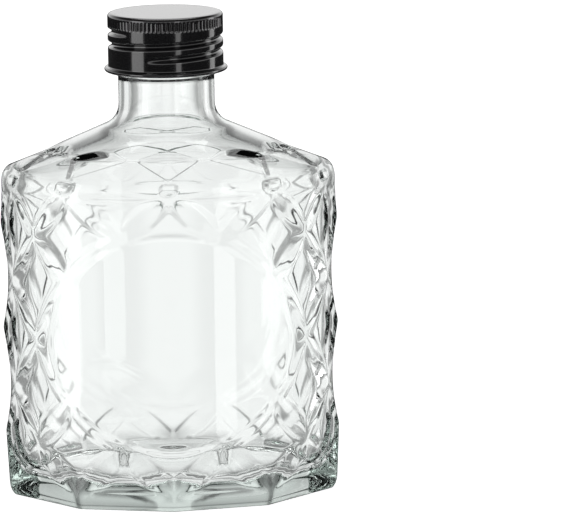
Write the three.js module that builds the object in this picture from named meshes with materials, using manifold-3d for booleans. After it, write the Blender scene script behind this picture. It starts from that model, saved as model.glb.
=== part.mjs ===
// A glass flask with a diamond lattice and two round windows, closed by a black aluminium screw cap.
// Sizes are in millimetres. Z is up, the front window faces -Y and the flask rests on Z = 0.

import * as THREE from 'three';
import { mergeVertices } from 'three/addons/utils/BufferGeometryUtils.js';
import Module from 'manifold-3d';

const wasm = await Module();
wasm.setup();

// Body: its plan is an ellipse, which the corners of the lattice touch
const bodyHalfWidth = 41.9;
const bodyHalfDepth = 26.5;
const cellRecess = 0.5;

// Directions of the lattice's columns and of the base's corners, in degrees from the front
const columnTurns = [0, 16.8, 38.3, 52.5, 68.6, 90];
const baseTurns = [0, 17.5, 35, 57, 79, 90];
const bodyColumns = 4 * (columnTurns.length - 1);

// Heights of the lattice rows, counted from the middle of the windows
const windowHeight = 42.2;
const windowHalfWidth = 31;
const windowHalfHeight = 28.5;
const windowProud = 0.15;
const innerRowRise = 13.5;
const outerRowRise = 26.4;
const rimReach = 0.2;

// Base
const heelHeight = 4;
const heelInset = 2;
const basePushUp = 0.8;
const bearingWidth = 5;

// Shoulder
const shoulderHeight = 79.1;
const edgeRise = 3.6;
const edgeInset = 1.9;
const crownRise = 6.5;
const crownHalfWidth = 35;
const crownHalfDepth = 18;
const shoulderSlope = THREE.MathUtils.degToRad(22);

// Neck and mouth
const neckRadius = 11.9;
const neckFillet = 6;
const neckFilletTop = 98.4;
const boreRadius = 9.2;
const bottleHeight = 118.9;
const finishHeight = 13.8;
const lipRadius = 0.8;

// Thickness of the glass
const wall = 3.6;
const floorThickness = 5.6;
const floorCorner = 7;

// Cap: a drawn aluminium shell with a rolled thread and a curled edge
const capRadius = 14.25;
const capHeight = 14.4;
const sheet = 0.3;
const capCorner = 0.9;
const knurlCount = 84;
const knurlTop = 0.7;
const knurlLength = 2.7;
const knurlDepth = 0.15;
const knurlRibShare = 0.8;
const curlHeight = 1.1;
const curlWidth = 1.25;
const curlSweep = THREE.MathUtils.degToRad(261);

// Thread: one right-hand start, rolled into the cap and moulded on the glass
const threadPitch = 3.175;
const rolledDepth = 1;
const rolledHalfWidth = 0.3;
const rolledFlank = 0.55;
const rolledDrop = 9.2;
const rolledStart = THREE.MathUtils.degToRad(-110);
const rolledEnd = THREE.MathUtils.degToRad(590);
const glassThreadHalfWidth = 0.3;
const glassThreadFlank = 0.4;
const glassThreadStart = THREE.MathUtils.degToRad(-100);
const glassThreadEnd = THREE.MathUtils.degToRad(480);
const threadRunOut = THREE.MathUtils.degToRad(40);
const threadStartShare = 0.1;

// Clearances between glass, cap and liner
const crestClearance = 0.35;
const rootClearance = 0.45;
const seatGap = 0.1;
const linerThickness = 1.4;

// Smoothness of the round forms
const planSteps = 48;
const roundSteps = 36;
const capSteps = 42;
const threadStepsPerTurn = 24;
const arcSteps = 4;

const capTop = bottleHeight + seatGap + linerThickness + seatGap + sheet;
const capWall = capRadius - sheet;
const glassThreadRadius = capWall - crestClearance;
const finishRadius = capWall - rolledDepth - rootClearance;
const finishBottom = bottleHeight - finishHeight;
const rolledHeight = capTop - rolledDrop;
const neckRootRadius = neckRadius + neckFillet * (1 - Math.sin(shoulderSlope));
const neckRootHeight = neckFilletTop - neckFillet * Math.cos(shoulderSlope);
const weldDistance = 1e-4;
const smallest = 1e-6;

// Solids

function weld(geometry) {
  const bare = geometry.clone();
  bare.deleteAttribute('normal');
  bare.deleteAttribute('uv');
  const merged = mergeVertices(bare, weldDistance);
  const index = merged.index.array;
  const kept = [];
  for (let i = 0; i < index.length; i += 3) {
    const [a, b, c] = [index[i], index[i + 1], index[i + 2]];
    if (a !== b && b !== c && c !== a) kept.push(a, b, c);
  }
  merged.setIndex(kept);
  return merged;
}

function toSolid(geometry) {
  const welded = weld(geometry);
  const vertProperties = new Float32Array(welded.attributes.position.array);
  const triVerts = new Uint32Array(welded.index.array);
  return new wasm.Manifold(new wasm.Mesh({ numProp: 3, vertProperties, triVerts }));
}

function toGeometry(solid) {
  const mesh = solid.getMesh();
  const geometry = new THREE.BufferGeometry();
  geometry.setAttribute('position', new THREE.BufferAttribute(mesh.vertProperties, 3));
  geometry.setIndex(new THREE.BufferAttribute(mesh.triVerts, 1));
  geometry.computeVertexNormals();
  return geometry;
}

function fromTriangles(triangles) {
  const geometry = new THREE.BufferGeometry();
  geometry.setFromPoints(triangles.flat());
  return geometry;
}

// A closed solid through rings of points that run counter-clockwise seen against the loft's direction
function loft(rings) {
  const triangles = [];
  const count = rings[0].length;
  for (let level = 0; level + 1 < rings.length; level += 1) {
    for (let i = 0; i < count; i += 1) {
      const next = (i + 1) % count;
      const [low, high] = [rings[level], rings[level + 1]];
      triangles.push([low[i], low[next], high[next]], [low[i], high[next], high[i]]);
    }
  }
  const [first, last] = [rings[0], rings[rings.length - 1]];
  for (let i = 1; i + 1 < count; i += 1) {
    triangles.push([first[0], first[i + 1], first[i]], [last[0], last[i], last[i + 1]]);
  }
  return fromTriangles(triangles);
}

// A body of revolution about Z from a profile of radii and heights
function lathe(profile, steps) {
  const points = profile.map(([radius, height]) => new THREE.Vector2(radius, height));
  return new THREE.LatheGeometry(points, steps).rotateX(Math.PI / 2);
}

// A ridge of trapezoid section along a helix about Z, which thins out at both ends
function helix({ from, to, height, root, crest, halfWidth, flank }) {
  const steps = Math.round(((to - from) / (2 * Math.PI)) * threadStepsPerTurn);
  const rings = [];
  for (let i = 0; i <= steps; i += 1) {
    const angle = from + ((to - from) * i) / steps;
    const ramp = Math.min(angle - from, to - angle, threadRunOut) / threadRunOut;
    const fade = threadStartShare + (1 - threadStartShare) * Math.sin((ramp * Math.PI) / 2);
    const tip = root + (crest - root) * fade;
    const middle = height + (threadPitch * angle) / (2 * Math.PI);
    const sectionPoint = (radius, offset) => new THREE.Vector3(
      radius * Math.cos(angle), radius * Math.sin(angle), middle + offset * fade);
    const inwards = crest < root ? -1 : 1;
    rings.push([
      sectionPoint(root, -inwards * (halfWidth + flank)),
      sectionPoint(tip, -inwards * halfWidth),
      sectionPoint(tip, inwards * halfWidth),
      sectionPoint(root, inwards * (halfWidth + flank)),
    ].reverse());
  }
  return loft(rings);
}

// Lattice

// The direction of a column, from a quarter's directions mirrored to the other three
function columnTurn(column, quarter) {
  const half = bodyColumns / 2;
  const place = ((column % bodyColumns) + bodyColumns) % bodyColumns;
  const folded = Math.min(place, bodyColumns - place);
  const turn = folded > half / 2 ? 180 - quarter[half - folded] : quarter[folded];
  return THREE.MathUtils.degToRad(place > half ? -turn : turn);
}

function ellipsePoint(halfWidth, halfDepth, turn, height) {
  return new THREE.Vector3(halfWidth * Math.sin(turn), -halfDepth * Math.cos(turn), height);
}

// A point of the body's plan, with the outline drawn in by an inset
function planPoint(turn, height, inset = 0) {
  return ellipsePoint(bodyHalfWidth - inset, bodyHalfDepth - inset, turn, height);
}

function ring(steps, pointAt) {
  return Array.from({ length: steps }, (_, i) => pointAt((i / steps) * 2 * Math.PI));
}

// How far a corner lies above or below the middle row: those beside a window lie on its rim
function cornerRise(turn, rowRise) {
  const across = (bodyHalfWidth * Math.sin(turn)) / windowHalfWidth;
  const rim = windowHalfHeight * Math.sqrt(Math.max(1 - across ** 2, 0));
  const besideWindow = Math.abs(across) > smallest && rim > rowRise - rimReach;
  return besideWindow ? rim : rowRise;
}

// Corners of the lattice, row 0 at the heel, rows 1 to 5 on the wall, row 6 at the shoulder's
// edge, row 7 above its rounding and row 8 at the corners of the crown
function corner(column, row) {
  const turn = columnTurn(column, columnTurns);
  if (row === 0) return planPoint(columnTurn(column, baseTurns), heelHeight);
  if (row === 6) return planPoint(turn, shoulderHeight);
  if (row === 7) return planPoint(turn, shoulderHeight + edgeRise, edgeInset);
  if (row === 8) return ellipsePoint(crownHalfWidth, crownHalfDepth, turn, shoulderHeight + crownRise);
  const rowRise = [0, innerRowRise, outerRowRise][Math.abs(row - 3)];
  const rise = row === 3 ? 0 : Math.sign(row - 3) * cornerRise(turn, rowRise);
  return planPoint(turn, windowHeight + rise);
}

// The bottom of a cell, a little inside the average of its four corners
function cellBottom(corners) {
  const middle = corners.reduce((sum, point) => sum.add(point), new THREE.Vector3());
  middle.multiplyScalar(1 / corners.length);
  const inwards = new THREE.Vector2(middle.x / bodyHalfWidth ** 2, middle.y / bodyHalfDepth ** 2);
  inwards.setLength(cellRecess);
  return middle.sub(new THREE.Vector3(inwards.x, inwards.y, 0));
}

function cellFacets(column, row) {
  const left = corner(column - 1, row);
  const low = corner(column, row - 1);
  const right = corner(column + 1, row);
  const high = corner(column, row + 1);
  const middle = cellBottom([left, low, right, high]);
  return [[left, low, middle], [low, right, middle], [right, high, middle], [high, left, middle]];
}

function neckRootPoint(column) {
  const turn = (column / bodyColumns) * 2 * Math.PI;
  return ellipsePoint(neckRootRadius, neckRootRadius, turn, neckRootHeight);
}

// Facets of the heel and the base below one pair of columns
function baseFacets(column) {
  const [left, right] = [corner(column - 1, 0), corner(column + 1, 0)];
  const [lowLeft, lowRight] = [-1, 1].map((step) =>
    planPoint(columnTurn(column + step, baseTurns), 0, heelInset));
  return [
    [left, right, corner(column, 1)],
    [lowLeft, lowRight, right],
    [lowLeft, right, left],
    [new THREE.Vector3(0, 0, 0), lowRight, lowLeft],
  ];
}

// Facets above one pair of columns, from the highest row of the wall to the root of the neck
function shoulderFacets(column) {
  const sides = [-1, 0, 1];
  const [left, middle, right] = sides.map((step) => corner(column + step, 6));
  const [highLeft, highMiddle, highRight] = sides.map((step) => corner(column + step, 7));
  const [crown, nextCrown] = [corner(column, 8), corner(column + 2, 8)];
  const root = sides.map((step) => neckRootPoint(column + step));
  const low = corner(column, 5);
  const top = new THREE.Vector3(0, 0, neckRootHeight);
  return [
    [left, low, middle], [low, right, middle],
    [left, middle, highMiddle], [left, highMiddle, highLeft],
    [middle, right, highRight], [middle, highRight, highMiddle],
    [highLeft, highMiddle, crown], [highMiddle, highRight, crown], [crown, highRight, nextCrown],
    [root[0], crown, root[1]], [root[1], crown, root[2]], [crown, nextCrown, root[2]],
    [root[0], root[1], top], [root[1], root[2], top],
  ];
}

function latticeSolid() {
  const triangles = [];
  for (let column = 0; column < bodyColumns; column += 1) {
    for (let row = 1; row <= 5; row += 1) {
      if ((column + row) % 2 === 1) triangles.push(...cellFacets(column, row));
    }
    if (column % 2 === 1) triangles.push(...baseFacets(column), ...shoulderFacets(column));
  }
  return toSolid(fromTriangles(triangles));
}

// Bottle

// The two windows: the plain outline of the body inside an oval rim, a little proud of the lattice
function windowSolid() {
  const outline = [windowHeight - windowHalfHeight - wall, windowHeight + windowHalfHeight + wall]
    .map((height) => ring(planSteps, (turn) => planPoint(turn, height, -windowProud)));
  const rim = new THREE.CylinderGeometry(1, 1, 4 * bodyHalfDepth, planSteps);
  rim.scale(windowHalfWidth, 1, windowHalfHeight);
  rim.translate(0, 0, windowHeight);
  return toSolid(loft(outline)).intersect(toSolid(rim));
}

function neckSolid() {
  const profile = [[0, shoulderHeight], [neckRootRadius, shoulderHeight]];
  const sweep = Math.PI / 2 - shoulderSlope;
  for (let i = arcSteps; i >= 0; i -= 1) {
    const turn = (sweep * i) / arcSteps;
    profile.push([
      neckRadius + neckFillet * (1 - Math.cos(turn)),
      neckFilletTop - neckFillet * Math.sin(turn),
    ]);
  }
  profile.push([neckRadius, finishBottom], [finishRadius, finishBottom + finishRadius - neckRadius]);
  profile.push([finishRadius, bottleHeight - lipRadius]);
  profile.push([finishRadius - lipRadius, bottleHeight], [0, bottleHeight]);
  return toSolid(lathe(profile, roundSteps));
}

function glassThread() {
  return toSolid(helix({
    from: glassThreadStart,
    to: glassThreadEnd,
    height: rolledHeight + threadPitch / 2,
    root: finishRadius - crestClearance,
    crest: glassThreadRadius,
    halfWidth: glassThreadHalfWidth,
    flank: glassThreadFlank,
  }));
}

// The hollow: the body's outline drawn in by the wall, narrowing over the shoulder into the bore
function hollowSolid() {
  const rings = [];
  for (let i = 0; i <= arcSteps; i += 1) {
    const turn = (Math.PI / 2) * (i / arcSteps);
    const height = floorThickness + floorCorner * (1 - Math.cos(turn));
    const inset = wall + floorCorner * (1 - Math.sin(turn));
    rings.push(ring(planSteps, (around) => planPoint(around, height, inset)));
  }
  const shoulderStart = shoulderHeight - wall * Math.tan(shoulderSlope);
  const boreStart = neckRootHeight - wall * Math.cos(shoulderSlope);
  const lower = ring(planSteps, (around) => planPoint(around, shoulderStart, wall));
  const bore = (height) => ring(planSteps, (around) =>
    ellipsePoint(boreRadius, boreRadius, around, height));
  const upper = bore(boreStart);
  for (let i = 0; i <= arcSteps; i += 1) {
    const share = i / arcSteps;
    const rise = (share + Math.sin((share * Math.PI) / 2)) / 2;
    const height = THREE.MathUtils.lerp(shoulderStart, boreStart, rise);
    rings.push(lower.map((point, k) => point.clone().lerp(upper[k], share).setZ(height)));
  }
  rings.push(bore(bottleHeight + wall));
  return toSolid(loft(rings));
}

// The shallow hollow under the base, which leaves a bearing ring round it
function pushUpSolid() {
  const rimInset = heelInset + bearingWidth;
  return toSolid(loft([-1, 1].map((side) => ring(planSteps, (turn) =>
    planPoint(turn, side * basePushUp, rimInset + side * basePushUp)))));
}

function glassBottle() {
  const outside = latticeSolid().add(windowSolid()).add(neckSolid()).add(glassThread());
  return toGeometry(outside.subtract(hollowSolid()).subtract(pushUpSolid()));
}

// Cap

// The side of the sheet that faces the bottle, from the axis down to the end of the outward curl
function capPath() {
  const path = [[0, capTop - sheet]];
  const bend = capCorner - sheet;
  for (let i = 0; i <= arcSteps / 2; i += 1) {
    const turn = (Math.PI / 2) * (i / (arcSteps / 2));
    path.push([
      capWall - knurlDepth - bend * (1 - Math.sin(turn)),
      capTop - sheet - bend * (1 - Math.cos(turn)),
    ]);
  }
  const knurlBottom = capTop - knurlTop - knurlLength;
  path.push([capWall - knurlDepth, knurlBottom], [capWall, knurlBottom - knurlDepth]);
  const [across, up] = [curlWidth / 2, curlHeight / 2];
  const middle = capTop - capHeight + up;
  const curlSteps = arcSteps + arcSteps / 2;
  for (let i = 0; i <= curlSteps; i += 1) {
    const turn = Math.PI + (curlSweep * i) / curlSteps;
    path.push([capWall + across + across * Math.cos(turn), middle + up * Math.sin(turn)]);
  }
  return path.map(([radius, height]) => new THREE.Vector2(radius, height));
}

// The closed section of a bent sheet, from the path of one of its sides
function sheetSection(path) {
  const other = path.map((point, i) => {
    const before = path[Math.max(i - 1, 0)];
    const after = path[Math.min(i + 1, path.length - 1)];
    const along = after.clone().sub(before).normalize();
    const offset = new THREE.Vector2(-along.y, along.x).multiplyScalar(sheet);
    return i === 0 ? point.clone().setY(point.y + sheet) : point.clone().add(offset);
  });
  return [...path, ...other.reverse()].map((point) => [point.x, point.y]);
}

// Upright ribs round the top of the skirt, each a wedge that points outwards
function knurlSolid() {
  const ribs = [];
  const halfPitch = (Math.PI * capRadius) / knurlCount;
  const [low, high] = [capTop - knurlTop - knurlLength, capTop - knurlTop];
  for (let i = 0; i < knurlCount; i += 1) {
    const turn = (i / knurlCount) * 2 * Math.PI;
    const wedge = [low, high].map((height) => [
      new THREE.Vector3(capRadius - 2 * knurlDepth, -knurlRibShare * halfPitch, height),
      new THREE.Vector3(capRadius, 0, height),
      new THREE.Vector3(capRadius - 2 * knurlDepth, knurlRibShare * halfPitch, height),
    ]);
    ribs.push(toSolid(loft(wedge).rotateZ(turn)));
  }
  return wasm.Manifold.union(ribs);
}

function rolledRidge(root, crest, halfWidth) {
  return toSolid(helix({
    from: rolledStart,
    to: rolledEnd,
    height: rolledHeight,
    root,
    crest,
    halfWidth,
    flank: rolledFlank,
  }));
}

function capShell() {
  const shell = toSolid(lathe(sheetSection(capPath()), capSteps));
  const ridge = rolledRidge(capRadius - sheet / 2, capWall - rolledDepth, rolledHalfWidth + sheet / 2);
  const groove = rolledRidge(capRadius + sheet, capRadius - rolledDepth, rolledHalfWidth - sheet / 2);
  return toGeometry(shell.add(knurlSolid()).add(ridge).subtract(groove));
}

function capLiner() {
  const radius = capWall - knurlDepth - (capCorner - sheet) - seatGap;
  const disc = new THREE.CylinderGeometry(radius, radius, linerThickness, roundSteps);
  disc.rotateX(Math.PI / 2);
  disc.translate(0, 0, bottleHeight + seatGap + linerThickness / 2);
  return disc;
}

// Materials and assembly

const clearGlass = new THREE.MeshStandardMaterial({
  color: 0xdde8e2,
  roughness: 0.04,
  metalness: 0,
  transparent: true,
  opacity: 0.35,
  flatShading: true,
});
const blackAluminium = new THREE.MeshStandardMaterial({
  color: 0x0b0b0c,
  roughness: 0.22,
  metalness: 0.3,
  flatShading: true,
});
const whiteFoam = new THREE.MeshStandardMaterial({ color: 0xf1f1ee, roughness: 0.7, metalness: 0 });

function part(name, geometry, material) {
  const mesh = new THREE.Mesh(geometry, material);
  mesh.name = name;
  return mesh;
}

const bottle = new THREE.Group();
bottle.add(part('glass_bottle', glassBottle(), clearGlass));
bottle.add(part('cap_shell', capShell(), blackAluminium));
bottle.add(part('cap_liner', capLiner(), whiteFoam));

export default bottle;
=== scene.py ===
"""A clear glass flask with a diamond lattice and two round windows, closed by a black screw cap."""

import math

import bpy
import numpy as np
from mathutils import Matrix, Vector


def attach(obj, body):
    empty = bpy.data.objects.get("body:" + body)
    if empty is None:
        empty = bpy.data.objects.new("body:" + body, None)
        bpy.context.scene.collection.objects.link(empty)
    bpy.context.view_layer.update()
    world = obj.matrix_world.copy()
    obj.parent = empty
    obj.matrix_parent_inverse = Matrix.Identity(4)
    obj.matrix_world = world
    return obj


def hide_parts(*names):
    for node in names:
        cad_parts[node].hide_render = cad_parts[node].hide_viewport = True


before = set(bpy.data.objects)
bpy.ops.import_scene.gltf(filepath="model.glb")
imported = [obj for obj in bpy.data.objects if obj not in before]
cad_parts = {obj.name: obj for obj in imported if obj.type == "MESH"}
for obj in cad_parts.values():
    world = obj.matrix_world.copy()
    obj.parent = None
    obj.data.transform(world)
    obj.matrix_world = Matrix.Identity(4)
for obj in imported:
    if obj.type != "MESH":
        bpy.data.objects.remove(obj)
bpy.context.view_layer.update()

# Sizes are written in millimetres times MM, and everything in the scene is in metres
MM = 0.001

# Body, with the turns of a quarter's columns in degrees
HALF_WIDTH = 41.9 * MM
HALF_DEPTH = 26.5 * MM
COLUMN_TURNS = [0, 16.8, 38.3, 52.5, 68.6, 90]
BASE_TURNS = [0, 17.5, 35, 57, 79, 90]
COLUMNS = 4 * (len(COLUMN_TURNS) - 1)
WINDOW_HEIGHT = 42.2 * MM
WINDOW_HALF_WIDTH = 31 * MM
WINDOW_HALF_HEIGHT = 28.5 * MM
WINDOW_PROUD = 0.1 * MM
WINDOW_BEVEL_SLOPE = 0.9
WINDOW_BEVEL_WIDTH = 1.8 * MM
ROW_RISES = [0, 13.5 * MM, 26.4 * MM]
MIDDLE_ROW = len(ROW_RISES)
ROWS = 2 * MIDDLE_ROW
RIM_REACH = 0.2 * MM

# Cells of the lattice: how deep they lie in front and at the sides, and what a share of 1 measures
CELL_RELIEF = 0.55 * MM
SIDE_RELIEF = 0.1 * MM
CELL_SPAN = 11 * MM

# Ridges: half a width in the middle, the share of it at the ends, and the slope down to the cell
RIDGE_HALF_WIDTH = 1.5 * MM
RIDGE_END_SHARE = 0.3
RIDGE_FLANK = 0.7 * MM

# Base
HEEL_HEIGHT = 4 * MM
HEEL_INSET = 2 * MM
PUSH_UP = 0.8 * MM
BEARING_WIDTH = 5 * MM

# Shoulder
SHOULDER_HEIGHT = 79.1 * MM
SHOULDER_INSET = 0.45 * MM
EDGE_RISE = 3.6 * MM
EDGE_INSET = 1.9 * MM
EDGE_SWEEP = math.radians(68)
SHOULDER_SLOPE = math.radians(22)

# Facets and the lens above each, as shares of the way to the neck. The border is in columns
FACET_SHARE = 0.42
LENS_SHARE = 0.16
FACET_RELIEF = 0.45 * MM
FACET_BORDER = 0.07

# Bosses: the squareness is of their outline, the steepness of their sides
BOSS_HALF_WIDTH = 2 * MM
BOSS_HALF_HEIGHT = 1.3 * MM
BOSS_PROUD = 0.7 * MM
BOSS_SQUARENESS = 4
BOSS_STEEPNESS = 4
BOSS_RISE = 1.9 * MM
BOSS_TILT = math.radians(20)

# Neck and mouth
NECK_RADIUS = 11.9 * MM
NECK_FILLET = 6 * MM
NECK_FILLET_TOP = 98.4 * MM
BORE_RADIUS = 9.2 * MM
BOTTLE_HEIGHT = 118.9 * MM
FINISH_HEIGHT = 13.8 * MM
LIP_RADIUS = 0.8 * MM

# Thickness of the glass
WALL = 3.6 * MM
SHOULDER_WALL = 2.4 * MM
NECK_WALL = NECK_RADIUS - BORE_RADIUS
FLOOR_THICKNESS = 5.6 * MM
FLOOR_CORNER = 7 * MM

# Cap, thread and liner
CAP_RADIUS = 14.25 * MM
CAP_HEIGHT = 14.4 * MM
SHEET = 0.3 * MM
CAP_CORNER = 0.9 * MM
KNURL_COUNT = 84
KNURL_TOP = 0.7 * MM
KNURL_LENGTH = 2.7 * MM
KNURL_DEPTH = 0.22 * MM
KNURL_FADE = 0.3 * MM
CURL_HALF_HEIGHT = 0.55 * MM
CURL_HALF_WIDTH = 0.65 * MM
CURL_GAP = 0.4 * MM
CURL_START_DEGREES = 115
CURL_SWEEP_DEGREES = 235
THREAD_PITCH = 3.175 * MM
THREAD_SQUARENESS = 3
THREAD_LAPS = range(-1, 3)
ROLLED_DEPTH = 1 * MM
ROLLED_HALF_WIDTH = 0.62 * MM
ROLLED_DROP = 9.2 * MM
ROLLED_ENDS = (math.radians(-110), math.radians(590))
GLASS_THREAD_HALF_WIDTH = 0.5 * MM
GLASS_THREAD_ENDS = (math.radians(-100), math.radians(480))
THREAD_RUN_OUT = math.radians(40)
CREST_CLEARANCE = 0.35 * MM
ROOT_CLEARANCE = 0.45 * MM
SEAT_GAP = 0.1 * MM
LINER_THICKNESS = 1.4 * MM

CAP_TOP = BOTTLE_HEIGHT + SEAT_GAP + LINER_THICKNESS + SEAT_GAP + SHEET
CAP_WALL = CAP_RADIUS - SHEET
LINER_RADIUS = CAP_WALL - CAP_CORNER + SHEET - 3 * SEAT_GAP
LINER_BEVEL = LINER_THICKNESS / 7
ROLLED_HEIGHT = CAP_TOP - ROLLED_DROP
FINISH_RADIUS = CAP_WALL - ROLLED_DEPTH - ROOT_CLEARANCE
FINISH_BOTTOM = BOTTLE_HEIGHT - FINISH_HEIGHT
NECK_ROOT_RADIUS = NECK_RADIUS + NECK_FILLET * (1 - math.sin(SHOULDER_SLOPE))
NECK_ROOT_HEIGHT = NECK_FILLET_TOP - NECK_FILLET * math.cos(SHOULDER_SLOPE)

# Points from one lattice column or row to the next, and round each piece
CELL_STEPS = 16
GLASS_STEPS = COLUMNS * CELL_STEPS
CAP_STEPS = 5 * KNURL_COUNT
LINER_STEPS = 96

# Steps up the outside of the glass. A facet gets a point wider on each side with each step
HEEL_STEPS = 7
EDGE_STEPS = 8
FACET_STEPS = 14
CONE_STEPS = 11
FILLET_STEPS = 8
NECK_STEPS = 5
FINISH_STEPS = 45
LIP_STEPS = 5

# Steps down the inside of the glass, and points at which the shoulder's wall is measured
INNER_LIP_STEPS = 4
BORE_STEPS = 9
INNER_SHOULDER_STEPS = 27
INNER_WALL_STEPS = 13
FLOOR_CORNER_STEPS = 8
WALL_SAMPLES = 41

# Steps along the section of the cap
CAP_CORNER_STEPS = 6
KNURL_STEPS = 13
SKIRT_STEPS = 47
CURL_STEPS = 14
INNER_SKIRT_STEPS = 39

# Rings on the flat faces, as shares of the whole face
UNDERSIDE_SHARES = (0.2, 0.4, 0.6, 0.8, 0.93)
FLOOR_SHARES = (0.8, 0.6, 0.4, 0.2)
CAP_TOP_SHARES = (0.3, 0.6, 0.85)

# How near a window's edge points move onto it, and how often the other edges are softened
RIM_SNAP = 0.35 * MM
RIDGE_ROUNDING = 1
HOLLOW_ROUNDING = 6


# Meshes from rings of points

def make_piece(name, points, faces, smooth=True):
    mesh = bpy.data.meshes.new(name)
    mesh.from_pydata(points, [], faces)
    mesh.validate()
    mesh.update()
    if smooth:
        mesh.shade_smooth()
    piece = bpy.data.objects.new(name, mesh)
    bpy.context.scene.collection.objects.link(piece)
    return piece


def closed_rings(name, start, rings, end, rising=None):
    """A closed body from a first point, rings that go round it, and a last point.

    rising says for each quad whether it is split from its low left to its high right corner.
    """
    rings = np.asarray(rings)
    levels, count = rings.shape[:2]
    index = np.arange(levels * count).reshape(levels, count)
    low, high = index[:-1], index[1:]
    low_next, high_next = np.roll(low, -1, axis=1), np.roll(high, -1, axis=1)
    split = np.ones(low.shape, bool) if rising is None else rising
    split = split[..., None]
    first = np.where(split, np.stack([low, low_next, high_next], -1),
                     np.stack([low, low_next, high], -1))
    second = np.where(split, np.stack([low, high_next, high], -1),
                      np.stack([low_next, high_next, high], -1))
    points = np.concatenate([[start], rings.reshape(-1, 3), [end]])
    last = len(points) - 1
    caps = []
    for k in range(count):
        after = (k + 1) % count
        caps.append((0, index[0, after] + 1, index[0, k] + 1))
        caps.append((last, index[-1, k] + 1, index[-1, after] + 1))
    faces = np.concatenate([first.reshape(-1, 3) + 1, second.reshape(-1, 3) + 1, np.array(caps)])
    return make_piece(name, points.tolist(), faces.tolist())


def round_ring(radius, height, steps):
    turns = np.arange(steps) / steps * 2 * math.pi
    return np.stack([radius * np.sin(turns), -radius * np.cos(turns), turns * 0 + height], -1)


# Lattice

def full_turns(quarter):
    """The directions of all the columns, from those of a quarter, in radians."""
    half = quarter + [180 - turn for turn in reversed(quarter[:-1])]
    return np.radians(half + [360 - turn for turn in reversed(half[:-1])])


COLUMN_DIRECTIONS = full_turns(COLUMN_TURNS)
BASE_DIRECTIONS = full_turns(BASE_TURNS)


def direction(column, table=COLUMN_DIRECTIONS):
    """The direction of a place among the columns, in radians round from the front."""
    return np.interp(np.mod(column, COLUMNS), np.arange(COLUMNS + 1), table)


def ellipse_point(half_width, half_depth, turn, height):
    turn = np.asarray(turn, float)
    return np.stack([half_width * np.sin(turn), -half_depth * np.cos(turn), turn * 0 + height], -1)


def plan_point(turn, height, inset=0.0):
    """A point of the flask's plain oval outline, or of one that is smaller by an inset."""
    return ellipse_point(HALF_WIDTH - inset, HALF_DEPTH - inset, turn, height)


def corner_rise(turn, row_rise):
    """How far a corner lies from the middle row: those beside a window lie on its rim."""
    across = HALF_WIDTH * math.sin(turn) / WINDOW_HALF_WIDTH
    rim = WINDOW_HALF_HEIGHT * math.sqrt(max(1 - across ** 2, 0))
    in_middle = math.isclose(across, 0, abs_tol=0.01)
    return rim if not in_middle and rim > row_rise - RIM_REACH else row_rise


def corner(column, row):
    """A corner of the lattice, from row 0 at the heel up to the last row at the shoulder's edge."""
    turn = float(direction(column))
    if row == 0:
        return plan_point(direction(column, BASE_DIRECTIONS), HEEL_HEIGHT)
    if row == ROWS:
        return plan_point(turn, SHOULDER_HEIGHT, SHOULDER_INSET)
    rise = corner_rise(turn, ROW_RISES[abs(row - MIDDLE_ROW)]) if row != MIDDLE_ROW else 0
    return plan_point(turn, WINDOW_HEIGHT + math.copysign(rise, row - MIDDLE_ROW))


CORNERS = {(column, row): corner(column, row)
           for column in range(-1, COLUMNS + 2) for row in range(ROWS + 1)}


def lattice_point(column, row):
    """A point of the wall, at a place between the columns and rows of the lattice."""
    left, below = math.floor(column), min(math.floor(row), ROWS - 1)
    across, up = column - left, row - below
    if (left + below) % 2 == 0:
        middle = (left + 1, below) if up < across else (left, below + 1)
    else:
        middle = (left, below) if up < 1 - across else (left + 1, below + 1)
    a, b = column - middle[0], row - middle[1]
    u, v = (1 + a + b) / 2, (1 - a + b) / 2
    if middle[1] == 0:
        share = (1 + a / (1 - b)) / 2 if b < 1 else 0.5
        edge = CORNERS[middle[0] - 1, 0] * (1 - share) + CORNERS[middle[0] + 1, 0] * share
        return sink_cell(CORNERS[middle[0], 1] * b + edge * (1 - b), (1 - u, v), (1 - v, u), (b, 0))
    low = CORNERS[middle[0], middle[1] - 1]
    if middle[1] == ROWS:
        up = 1 + b
        place = middle[0] + (a / up if up > 0 else 0)
        edge = plan_point(direction(place), SHOULDER_HEIGHT, SHOULDER_INSET)
        return sink_cell(low * (1 - up) + edge * up, (u, v), (v, u), (-b, 0))
    high = CORNERS[middle[0], middle[1] + 1]
    west, east = CORNERS[middle[0] - 1, middle[1]], CORNERS[middle[0] + 1, middle[1]]
    flat = (1 - u) * (1 - v) * low + u * (1 - v) * east + (1 - u) * v * west + u * v * high
    return sink_cell(flat, (u, v), (v, u), (1 - u, v), (1 - v, u))


def sink_cell(point, *borders):
    """Moves a point of a cell inwards, except on the ridges, which are widest half-way along.

    Each border is how far the point lies from it and how far along it, as shares of the cell.
    """
    away, along = min(borders)
    half_width = RIDGE_HALF_WIDTH * (RIDGE_END_SHARE + (1 - RIDGE_END_SHARE) * 4 * along * (1 - along))
    down = min(max((away * CELL_SPAN - half_width) / RIDGE_FLANK, 0), 1)
    outwards = np.array([point[0] / HALF_WIDTH ** 2, point[1] / HALF_DEPTH ** 2, 0])
    relief = SIDE_RELIEF + (CELL_RELIEF - SIDE_RELIEF) * abs(point[1]) / HALF_DEPTH
    return point - outwards / np.linalg.norm(outwards) * relief * down ** 2 * (3 - 2 * down)


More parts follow.
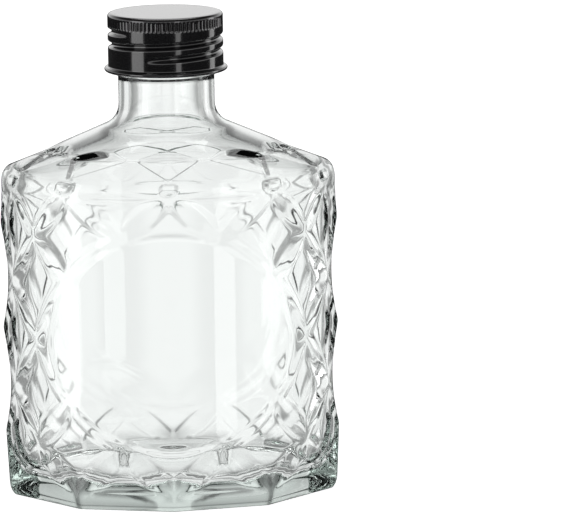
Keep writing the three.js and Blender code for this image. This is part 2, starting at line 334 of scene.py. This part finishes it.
def raise_window(points):
    """Lifts the wall onto the plain outline inside each window, with a bevel that falls to its rim."""
    x, y, z = points[..., 0].copy(), points[..., 1], points[..., 2].copy()
    rise = z - WINDOW_HEIGHT
    reach = np.hypot(x / WINDOW_HALF_WIDTH, rise / WINDOW_HALF_HEIGHT)
    slope_x, slope_z = x / WINDOW_HALF_WIDTH ** 2, rise / WINDOW_HALF_HEIGHT ** 2
    slope = np.maximum(np.hypot(slope_x, slope_z), 1e-6)
    outside = (reach - 1) * reach / slope
    outside += WINDOW_BEVEL_WIDTH
    near = np.abs(outside) < RIM_SNAP
    x -= np.where(near, outside * slope_x / slope, 0)
    z -= np.where(near, outside * slope_z / slope, 0)
    outside = np.where(near, 0, outside)
    half_width, half_depth = HALF_WIDTH + WINDOW_PROUD, HALF_DEPTH + WINDOW_PROUD
    plain = half_depth * np.sqrt(np.maximum(1 - (x / half_width) ** 2, 0))
    depth = np.maximum(np.abs(y), plain - WINDOW_BEVEL_SLOPE * np.maximum(outside, 0))
    return np.stack([x, np.copysign(depth, y), z], -1)


def soften(rings, times):
    """Rounds what is sharp: each point moves half-way to the average of its four neighbours."""
    for _ in range(times):
        average = (np.roll(rings, 1, 1) + np.roll(rings, -1, 1))[1:-1] + rings[:-2] + rings[2:]
        rings[1:-1] = (rings[1:-1] + average / 4) / 2
    return rings


# Glass bottle

def base_rings(places):
    """The underside: a shallow hollow, the bearing ring and the round heel up to the lattice."""
    turns = direction(places)
    even = np.floor(places / 2) * 2
    share = ((places - even) / 2)[:, None]

    def polygon(inset, height):
        first = plan_point(direction(even, BASE_DIRECTIONS), height, inset)
        second = plan_point(direction(even + 2, BASE_DIRECTIONS), height, inset)
        return first * (1 - share) + second * share

    rim = HEEL_INSET + BEARING_WIDTH
    rings = []
    for part in UNDERSIDE_SHARES:
        rings.append(ellipse_point((HALF_WIDTH - rim) * part, (HALF_DEPTH - rim) * part, turns,
                                   PUSH_UP))
    for step in (1, 0, -1):
        rings.append(plan_point(turns, PUSH_UP * (1 + step) / 2, rim + step * PUSH_UP))
    rings.append((plan_point(turns, 0, HEEL_INSET * 2) + polygon(HEEL_INSET * 2, 0)) / 2)
    for step in range(HEEL_STEPS):
        sweep = step / HEEL_STEPS * math.pi / 2
        rings.append(polygon(HEEL_INSET * (1 - math.sin(sweep)), HEEL_HEIGHT * (1 - math.cos(sweep))))
    return rings


def lattice_rings(places):
    levels = np.arange(ROWS * CELL_STEPS + 1) / CELL_STEPS
    rings = [[lattice_point(column, row) for column in places] for row in levels]
    return list(raise_window(np.array(rings)))


def edge_rings(places):
    """The rounding from the wall into the shoulder."""
    turns = direction(places)
    rings = []
    for step in range(1, EDGE_STEPS):
        sweep = EDGE_SWEEP * step / EDGE_STEPS
        inwards = (EDGE_INSET - SHOULDER_INSET) * (1 - math.cos(sweep)) / (1 - math.cos(EDGE_SWEEP))
        upwards = EDGE_RISE * math.sin(sweep) / math.sin(EDGE_SWEEP)
        rings.append(plan_point(turns, SHOULDER_HEIGHT + upwards, SHOULDER_INSET + inwards))
    return rings


def cone_point(place, share):
    """A point of the smooth shoulder, from its rounded edge at 0 to the root of the neck at 1."""
    edge = plan_point(direction(place), SHOULDER_HEIGHT + EDGE_RISE, EDGE_INSET)
    turn = np.asarray(place) / COLUMNS * 2 * math.pi
    root = ellipse_point(NECK_ROOT_RADIUS, NECK_ROOT_RADIUS, turn, NECK_ROOT_HEIGHT)
    share = np.asarray(share)[..., None]
    return edge * (1 - share) + root * share


def facet_point(column, level):
    """A point of the shoulder's facets: sunken flat triangles that point down, and the form between."""
    up = level / FACET_STEPS
    reach = level / CELL_STEPS
    widest = FACET_STEPS / CELL_STEPS
    even = 2 * round(column / 2)
    if abs(column - even) <= reach:
        share = (1 + ((column - even) / reach if level else 0)) / 2
        chord = (cone_point(even - widest, FACET_SHARE) * (1 - share)
                 + cone_point(even + widest, FACET_SHARE) * share)
        border = min((reach - abs(column - even)) / FACET_BORDER, 1)
        return cone_point(even, 0) * (1 - up) + chord * up - np.array([0, 0, FACET_RELIEF * border])
    left = 2 * math.floor(column / 2)
    share = (column - left - reach) / (2 - 2 * reach)
    low = cone_point(left + 2 * share, 0)
    high = cone_point(left + widest + (2 - 2 * widest) * share, FACET_SHARE)
    return low * (1 - up) + high * up


def shoulder_rings(places):
    """The facets, the small lens above each, and the smooth cone up to the neck."""
    rings = [np.array([facet_point(column, level) for column in places])
             for level in range(FACET_STEPS + 1)]
    offset = (places - 2 * np.round(places / 2)) * CELL_STEPS / FACET_STEPS
    start = FACET_SHARE + LENS_SHARE * np.maximum(1 - offset ** 2, 0)
    rings.append((rings[-1] + cone_point(places, start)) / 2)
    rings += [cone_point(places, start + (1 - start) * step / CONE_STEPS)
              for step in range(CONE_STEPS)]
    return rings


def raise_bosses(rings):
    """Small bosses on the shoulder's edge, one above each place where two ridges meet it."""
    for column in range(0, COLUMNS, 2):
        centre = corner(column, ROWS) + np.array([0, 0, BOSS_RISE])
        out = np.array([centre[0] / HALF_WIDTH ** 2, centre[1] / HALF_DEPTH ** 2, 0])
        out /= np.linalg.norm(out)
        along = np.array([-out[1], out[0], 0])
        facing = out * math.cos(BOSS_TILT) + np.array([0, 0, math.sin(BOSS_TILT)])
        offset = rings - centre
        across, up, depth = offset @ along, offset @ np.cross(facing, along), offset @ facing
        far = (across / BOSS_HALF_WIDTH) ** BOSS_SQUARENESS + (up / BOSS_HALF_HEIGHT) ** BOSS_SQUARENESS
        height = BOSS_PROUD * np.clip(BOSS_STEEPNESS * (1 - far), 0, 1)
        rings += np.where(np.abs(depth) < BOSS_HALF_WIDTH, height, 0)[..., None] * facing
    return rings


def thread_rise(turns, height, middle, ends, half_width):
    """How much of a thread's full height stands at each direction, from 0 to 1, over all its laps."""
    total = np.zeros_like(turns)
    around = turns - math.pi / 2
    for lap in THREAD_LAPS:
        angle = around + lap * 2 * math.pi
        ramp = np.clip(np.minimum(angle - ends[0], ends[1] - angle) / THREAD_RUN_OUT, 0, 1)
        away = (height - middle - THREAD_PITCH * angle / (2 * math.pi)) / half_width
        profile = np.exp(-np.abs(away) ** THREAD_SQUARENESS)
        total = np.maximum(total, np.sin(ramp * math.pi / 2) * profile)
    return total


def neck_fillet():
    """The outside of the fillet between the shoulder and the neck."""
    turns = (math.pi / 2 - SHOULDER_SLOPE) * (1 - np.arange(FILLET_STEPS + 1) / FILLET_STEPS)
    return [round_ring(NECK_RADIUS + NECK_FILLET * (1 - math.cos(turn)),
                       NECK_FILLET_TOP - NECK_FILLET * math.sin(turn), GLASS_STEPS) for turn in turns]


def neck_rings():
    """The outside of the neck with its thread, then over the rim into the bore."""
    turns = np.arange(GLASS_STEPS) / GLASS_STEPS * 2 * math.pi
    rings = neck_fillet()
    for height in np.linspace(NECK_FILLET_TOP, FINISH_BOTTOM, NECK_STEPS + 1)[1:]:
        rings.append(round_ring(NECK_RADIUS, height, GLASS_STEPS))
    thread_height = CAP_WALL - CREST_CLEARANCE - FINISH_RADIUS
    start = FINISH_BOTTOM + FINISH_RADIUS - NECK_RADIUS
    for height in np.linspace(start, BOTTLE_HEIGHT - LIP_RADIUS, FINISH_STEPS + 1):
        rise = thread_rise(turns, height, ROLLED_HEIGHT + THREAD_PITCH / 2, GLASS_THREAD_ENDS,
                           GLASS_THREAD_HALF_WIDTH)
        rings.append(round_ring(FINISH_RADIUS + thread_height * rise, height, GLASS_STEPS))
    for step in range(1, LIP_STEPS + 1):
        turn = math.pi / 2 * step / LIP_STEPS
        rings.append(round_ring(FINISH_RADIUS - LIP_RADIUS * (1 - math.cos(turn)),
                                BOTTLE_HEIGHT - LIP_RADIUS * (1 - math.sin(turn)), GLASS_STEPS))
    for step in range(INNER_LIP_STEPS + 1):
        turn = math.pi / 2 * step / INNER_LIP_STEPS
        rings.append(round_ring(BORE_RADIUS + LIP_RADIUS * (1 - math.sin(turn)),
                                BOTTLE_HEIGHT - LIP_RADIUS * (1 - math.cos(turn)), GLASS_STEPS))
    return rings


def shoulder_hollow(places):
    """The inside of the shoulder, below the outside by a wall that thickens towards the neck."""
    turns = direction(places)
    edge = [plan_point(turns, SHOULDER_HEIGHT)] + edge_rings(places) + [cone_point(places, 0)]
    bore = round_ring(BORE_RADIUS, NECK_FILLET_TOP, GLASS_STEPS)
    outside = np.array(edge + neck_fillet() + [bore])
    steps = np.linalg.norm(np.diff(outside[..., :2], axis=0), axis=2)
    inwards = np.concatenate([np.zeros((1, GLASS_STEPS)), np.cumsum(steps, axis=0)])
    shares = (1 + np.cos(np.linspace(0, math.pi, INNER_SHOULDER_STEPS + 1))) / 2
    rings = np.empty((len(shares), GLASS_STEPS, 3))
    for k in range(GLASS_STEPS):
        path, neck = inwards[:, k], inwards[-2, k]
        for level, share in enumerate(shares):
            place = WALL + (path[-1] - WALL) * share
            wall = SHOULDER_WALL + (NECK_WALL - SHOULDER_WALL) * place / path[-1]
            around = np.linspace(place - wall, min(place + wall, neck), WALL_SAMPLES)
            drop = np.sqrt(np.maximum(wall ** 2 - (around - place) ** 2, 0))
            height = np.min(np.interp(around, path[:-1], outside[:-1, k, 2]) - drop)
            rings[level, k] = [np.interp(place, path, outside[:, k, 0]),
                               np.interp(place, path, outside[:, k, 1]), height]
    return list(rings)


def hollow_rings(places):
    """The inside, from the bore down to the floor."""
    turns = direction(places)
    bore_start = BOTTLE_HEIGHT - 2 * LIP_RADIUS
    rings = [round_ring(BORE_RADIUS, height, GLASS_STEPS)
             for height in np.linspace(bore_start, NECK_FILLET_TOP + WALL / 4, BORE_STEPS + 1)]
    rings += shoulder_hollow(places)
    wall_start = SHOULDER_HEIGHT - WALL / 2
    for height in np.linspace(wall_start, FLOOR_THICKNESS + FLOOR_CORNER, INNER_WALL_STEPS + 1)[1:]:
        rings.append(plan_point(turns, height, WALL))
    for step in range(1, FLOOR_CORNER_STEPS + 1):
        turn = math.pi / 2 * (1 - step / FLOOR_CORNER_STEPS)
        rings.append(plan_point(turns, FLOOR_THICKNESS + FLOOR_CORNER * (1 - math.cos(turn)),
                                WALL + FLOOR_CORNER * (1 - math.sin(turn))))
    inset = WALL + FLOOR_CORNER
    for part in FLOOR_SHARES:
        rings.append(ellipse_point((HALF_WIDTH - inset) * part, (HALF_DEPTH - inset) * part, turns,
                                   FLOOR_THICKNESS))
    return list(soften(np.array(rings), HOLLOW_ROUNDING))


def glass_bottle():
    places = np.arange(GLASS_STEPS) / CELL_STEPS
    base, wall = base_rings(places), lattice_rings(places)
    edge, shoulder = edge_rings(places), shoulder_rings(places)
    body = soften(np.array(base + wall + edge), RIDGE_ROUNDING)
    outside = raise_bosses(np.concatenate([body, shoulder]))
    rings = list(outside) + neck_rings() + hollow_rings(places)
    # Quads are split along the ridges of the wall and along the edges of the facets
    column = np.floor(places).astype(int)
    rising = np.ones((len(rings) - 1, GLASS_STEPS), bool)
    for level in range(ROWS * CELL_STEPS):
        rising[len(base) + level] = (column + level // CELL_STEPS) % 2 == 0
    crown = len(base) + len(wall) + len(edge)
    rising[crown:crown + FACET_STEPS] = column % 2 == 0
    piece = closed_rings("flask", (0, 0, PUSH_UP), rings, (0, 0, FLOOR_THICKNESS), rising)
    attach(piece, "bottle")
    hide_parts("glass_bottle")
    return piece


# Cap and liner

def cap_section():
    """The cap's outline, outside then inside: radius, height, share of knurl and share of groove."""
    section = [(CAP_RADIUS * part, CAP_TOP, 0, 0) for part in CAP_TOP_SHARES]
    for step in range(CAP_CORNER_STEPS + 1):
        turn = math.pi / 2 * step / CAP_CORNER_STEPS
        section.append((CAP_RADIUS - CAP_CORNER * (1 - math.sin(turn)),
                        CAP_TOP - CAP_CORNER * (1 - math.cos(turn)), 0, 0))
    knurl_bottom = CAP_TOP - KNURL_TOP - KNURL_LENGTH
    curl_top = CAP_TOP - CAP_HEIGHT + 2 * CURL_HALF_HEIGHT
    for height in np.linspace(CAP_TOP - CAP_CORNER, knurl_bottom, KNURL_STEPS + 1)[1:]:
        fade = min(CAP_TOP - CAP_CORNER - height, height - knurl_bottom) / KNURL_FADE
        section.append((CAP_RADIUS, height, min(max(fade, 0), 1), 0))
    for height in np.linspace(knurl_bottom, curl_top + CURL_GAP, SKIRT_STEPS + 1)[1:]:
        section.append((CAP_RADIUS, height, 0, 1))
    centre = (CAP_RADIUS + CURL_HALF_WIDTH / 2, CAP_TOP - CAP_HEIGHT + CURL_HALF_HEIGHT)
    for step in range(CURL_STEPS + 1):
        turn = math.radians(CURL_START_DEGREES - CURL_SWEEP_DEGREES * step / CURL_STEPS)
        section.append((centre[0] + CURL_HALF_WIDTH * math.cos(turn),
                        centre[1] + CURL_HALF_HEIGHT * math.sin(turn), 0, 0))
    for height in np.linspace(centre[1], knurl_bottom, INNER_SKIRT_STEPS + 1):
        section.append((CAP_WALL, height, 0, 1))
    section += [(CAP_WALL, CAP_TOP - SHEET - CAP_CORNER, 0, 0),
                (CAP_WALL - CAP_CORNER / 3, CAP_TOP - SHEET - CAP_CORNER / 4, 0, 0),
                (CAP_WALL - CAP_CORNER, CAP_TOP - SHEET, 0, 0),
                (CAP_WALL / 2, CAP_TOP - SHEET, 0, 0)]
    return section


def cap_shell():
    turns = np.arange(CAP_STEPS) / CAP_STEPS * 2 * math.pi
    tooth = np.abs(np.cos(turns * KNURL_COUNT / 2))
    rings = []
    for radius, height, knurl, groove in cap_section():
        rolled = thread_rise(turns, height, ROLLED_HEIGHT, ROLLED_ENDS, ROLLED_HALF_WIDTH)
        inwards = knurl * KNURL_DEPTH * (1 - tooth) + groove * ROLLED_DEPTH * rolled
        rings.append(round_ring(radius - inwards, height, CAP_STEPS))
    rings.reverse()
    piece = closed_rings("screw_cap", (0, 0, CAP_TOP - SHEET), rings, (0, 0, CAP_TOP))
    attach(piece, "cap")
    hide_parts("cap_shell")
    return piece


def liner_disc():
    bottom = BOTTLE_HEIGHT + SEAT_GAP
    top = bottom + LINER_THICKNESS
    section = [(LINER_RADIUS / 2, bottom), (LINER_RADIUS - LINER_BEVEL, bottom),
               (LINER_RADIUS, bottom + LINER_BEVEL), (LINER_RADIUS, top - LINER_BEVEL),
               (LINER_RADIUS - LINER_BEVEL, top), (LINER_RADIUS / 2, top)]
    rings = [round_ring(radius, height, LINER_STEPS) for radius, height in section]
    piece = closed_rings("sealing_disc", (0, 0, bottom), rings, (0, 0, top))
    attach(piece, "liner")
    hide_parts("cap_liner")
    return piece


# Materials

def new_material(name):
    material = bpy.data.materials.new(name)
    material.use_nodes = True
    return material, material.node_tree.nodes, material.node_tree.links


def add_bump(nodes, links, shader, scale, detail, distance, stretch=(1, 1, 1)):
    """Unevenness of the surface, from noise in the object's own coordinates."""
    place = nodes.new("ShaderNodeTexCoord")
    mapping = nodes.new("ShaderNodeMapping")
    mapping.inputs["Scale"].default_value = stretch
    noise = nodes.new("ShaderNodeTexNoise")
    noise.inputs["Scale"].default_value = scale
    noise.inputs["Detail"].default_value = detail
    bump = nodes.new("ShaderNodeBump")
    bump.inputs["Strength"].default_value = 1
    bump.inputs["Distance"].default_value = distance
    links.new(place.outputs["Object"], mapping.inputs["Vector"])
    links.new(mapping.outputs["Vector"], noise.inputs["Vector"])
    links.new(noise.outputs["Fac"], bump.inputs["Height"])
    links.new(bump.outputs["Normal"], shader.inputs["Normal"])


def glass_material():
    material, nodes, links = new_material("clear_flint_glass")
    shader = nodes["Principled BSDF"]
    shader.inputs["Base Color"].default_value = (0.985, 0.995, 0.99, 1)
    shader.inputs["Roughness"].default_value = 0.0
    shader.inputs["IOR"].default_value = 1.52
    shader.inputs["Transmission Weight"].default_value = 1
    add_bump(nodes, links, shader, scale=70, detail=1, distance=0.03 * MM, stretch=(1, 1, 0.6))
    absorption = nodes.new("ShaderNodeVolumeAbsorption")
    absorption.inputs["Color"].default_value = (0.5, 0.68, 0.6, 1)
    absorption.inputs["Density"].default_value = 9
    links.new(absorption.outputs["Volume"], nodes["Material Output"].inputs["Volume"])
    return material


def cap_material():
    material, nodes, links = new_material("black_lacquered_aluminium")
    shader = nodes["Principled BSDF"]
    shader.inputs["Base Color"].default_value = (0.004, 0.004, 0.0045, 1)
    shader.inputs["Roughness"].default_value = 0.16
    shader.inputs["IOR"].default_value = 1.6
    shader.inputs["Coat Weight"].default_value = 1
    shader.inputs["Coat Roughness"].default_value = 0.04
    add_bump(nodes, links, shader, scale=900, detail=2, distance=0.004 * MM)
    return material


def foam_material():
    material, nodes, links = new_material("expanded_foam")
    shader = nodes["Principled BSDF"]
    shader.inputs["Base Color"].default_value = (0.86, 0.86, 0.84, 1)
    shader.inputs["Roughness"].default_value = 0.8
    add_bump(nodes, links, shader, scale=4000, detail=2, distance=0.05 * MM)
    return material


# Studio

# The camera that was fitted to the photograph
CAMERA_PLACE = Vector((0, -950 * MM, 249.4 * MM))
CAMERA_PAN = math.radians(1.667)
CAMERA_TILT = math.radians(11.396)
CAMERA_ROLL = math.radians(0.772)
FOCAL_PIXELS = 3883
PHOTO_WIDTH = 561
SENSOR_WIDTH = 36

FLOOR_HALF_WIDTH = 3

# Lights: name, degrees round the flask from the front, degrees up, distance, width, height, watts
SOFT_BOXES = [
    ("left_strip", -58, 0, 0.9, 0.42, 0.9, 1.9),
    ("front_strip", 25, 0, 0.9, 0.16, 0.9, 0.6),
    ("right_strip", 106, 0, 0.9, 0.24, 0.9, 1.1),
    ("overhead", 180, 70, 1.2, 0.8, 0.8, 4),
]

# The room as grey levels: round the flask, against the cosine of PANELS times the direction, and
# from straight down at -1 to straight up at 1, as seen through glass and in reflections
PANELS = 8
PANEL_GREYS = [(-1, 0.3), (-0.5, 0.4), (0.4, 1), (1, 1)]
SEEN_GREYS = [(-1, 0.92), (-0.8, 0.85), (-0.65, 0.62), (-0.4, 1),
              (0.02, 1), (0.2, 0.82), (0.45, 0.42), (1, 0.22)]
MIRRORED_GREYS = [(-1, 0.02), (0, 0.03), (0.1, 0.95), (0.3, 0.8), (0.6, 0.05), (1, 0.03)]


def add_camera():
    data = bpy.data.cameras.new("camera")
    data.sensor_width = SENSOR_WIDTH
    data.lens = FOCAL_PIXELS / PHOTO_WIDTH * SENSOR_WIDTH
    data.clip_start = 0.01
    data.clip_end = 50
    camera = bpy.data.objects.new("camera", data)
    bpy.context.scene.collection.objects.link(camera)
    pan = Matrix.Rotation(-CAMERA_PAN, 4, "Z")
    tilt = Matrix.Rotation(math.pi / 2 - CAMERA_TILT, 4, "X")
    roll = Matrix.Rotation(-CAMERA_ROLL, 4, "Z")
    camera.matrix_world = Matrix.Translation(CAMERA_PLACE) @ pan @ tilt @ roll
    bpy.context.scene.camera = camera


def add_soft_box(name, azimuth, elevation, distance, width, height, power):
    """A rectangular light that faces the middle of the flask."""
    data = bpy.data.lights.new(name, "AREA")
    data.shape = "RECTANGLE"
    data.size, data.size_y = width, height
    data.energy = power
    light = bpy.data.objects.new(name, data)
    bpy.context.scene.collection.objects.link(light)
    turn, rise = math.radians(azimuth), math.radians(elevation)
    back = Vector((math.sin(turn) * math.cos(rise), -math.cos(turn) * math.cos(rise), math.sin(rise)))
    light.location = Vector((0, 0, BOTTLE_HEIGHT / 2)) + back * distance
    light.rotation_mode = "QUATERNION"
    light.rotation_quaternion = back.to_track_quat("Z", "Y")


def add_floor():
    """A white table, which lights up by itself so that it stays as white as the photograph's.

    Glass and reflections don't show it: they show the room's grey levels there.
    """
    signs = [(-1, -1), (1, -1), (1, 1), (-1, 1)]
    floor = make_piece("floor", [(x * FLOOR_HALF_WIDTH, y * FLOOR_HALF_WIDTH, 0) for x, y in signs],
                       [(0, 1, 2, 3)], smooth=False)
    material, nodes, _ = new_material("pale_floor")
    shader = nodes["Principled BSDF"]
    shader.inputs["Base Color"].default_value = (0.8, 0.8, 0.8, 1)
    shader.inputs["Roughness"].default_value = 0.9
    shader.inputs["Specular IOR Level"].default_value = 0
    shader.inputs["Emission Color"].default_value = (1, 1, 1, 1)
    shader.inputs["Emission Strength"].default_value = 0.86
    floor.data.materials.append(material)
    floor.visible_transmission = False
    floor.visible_glossy = False


def add_ramp(nodes, links, source, stops):
    """Grey levels along a value that runs from -1 to 1."""
    place = nodes.new("ShaderNodeMapRange")
    place.inputs["From Min"].default_value = -1
    place.inputs["From Max"].default_value = 1
    links.new(source, place.inputs["Value"])
    ramp = nodes.new("ShaderNodeValToRGB")
    elements = ramp.color_ramp.elements
    while len(elements) < len(stops):
        elements.new(1)
    for element, (value, grey) in zip(elements, stops):
        element.position = (value + 1) / 2
        element.color = (grey, grey, grey, 1)
    links.new(place.outputs["Result"], ramp.inputs["Fac"])
    return ramp.outputs["Color"]


def add_mix(nodes, links, blend, factor, first, second):
    """A mix of colours, whose sockets go by number: inputs 0, 6 and 7, and output 2."""
    mix = nodes.new("ShaderNodeMix")
    mix.data_type = "RGBA"
    mix.blend_type = blend
    for value, socket in ((factor, mix.inputs[0]), (first, mix.inputs[6]), (second, mix.inputs[7])):
        if isinstance(value, bpy.types.NodeSocket):
            links.new(value, socket)
        else:
            socket.default_value = value
    return mix.outputs[2]


def add_world():
    """The room: white panels between darker gaps seen through the glass, a dim room in reflections."""
    world = bpy.data.worlds.new("studio")
    bpy.context.scene.world = world
    world.use_nodes = True
    nodes, links = world.node_tree.nodes, world.node_tree.links
    place = nodes.new("ShaderNodeTexCoord")
    split = nodes.new("ShaderNodeSeparateXYZ")
    links.new(place.outputs["Generated"], split.inputs["Vector"])
    azimuth = nodes.new("ShaderNodeMath")
    azimuth.operation = "ARCTAN2"
    links.new(split.outputs["X"], azimuth.inputs[0])
    links.new(split.outputs["Y"], azimuth.inputs[1])
    laps = nodes.new("ShaderNodeMath")
    laps.operation = "MULTIPLY"
    laps.inputs[1].default_value = PANELS
    links.new(azimuth.outputs[0], laps.inputs[0])
    wave = nodes.new("ShaderNodeMath")
    wave.operation = "COSINE"
    links.new(laps.outputs[0], wave.inputs[0])
    around = add_ramp(nodes, links, wave.outputs[0], PANEL_GREYS)
    upwards = add_ramp(nodes, links, split.outputs["Z"], SEEN_GREYS)
    seen = add_mix(nodes, links, "MULTIPLY", 1.0, around, upwards)
    mirrored = add_ramp(nodes, links, split.outputs["Z"], MIRRORED_GREYS)
    rays = nodes.new("ShaderNodeLightPath")
    room = add_mix(nodes, links, "MIX", rays.outputs["Is Transmission Ray"], mirrored, seen)
    sky = add_mix(nodes, links, "MIX", rays.outputs["Is Camera Ray"], room, (1, 1, 1, 1))
    links.new(sky, nodes["Background"].inputs["Color"])


def add_studio():
    add_camera()
    add_world()
    add_floor()
    for soft_box in SOFT_BOXES:
        add_soft_box(*soft_box)
    scene = bpy.context.scene
    scene.view_settings.view_transform = "Standard"
    # With fewer bounces dark specks show in the corners of the glass
    scene.cycles.max_bounces = 40
    scene.cycles.transmission_bounces = 40
    scene.cycles.glossy_bounces = 8


add_studio()
glass_bottle().data.materials.append(glass_material())
cap_shell().data.materials.append(cap_material())
liner_disc().data.materials.append(foam_material())
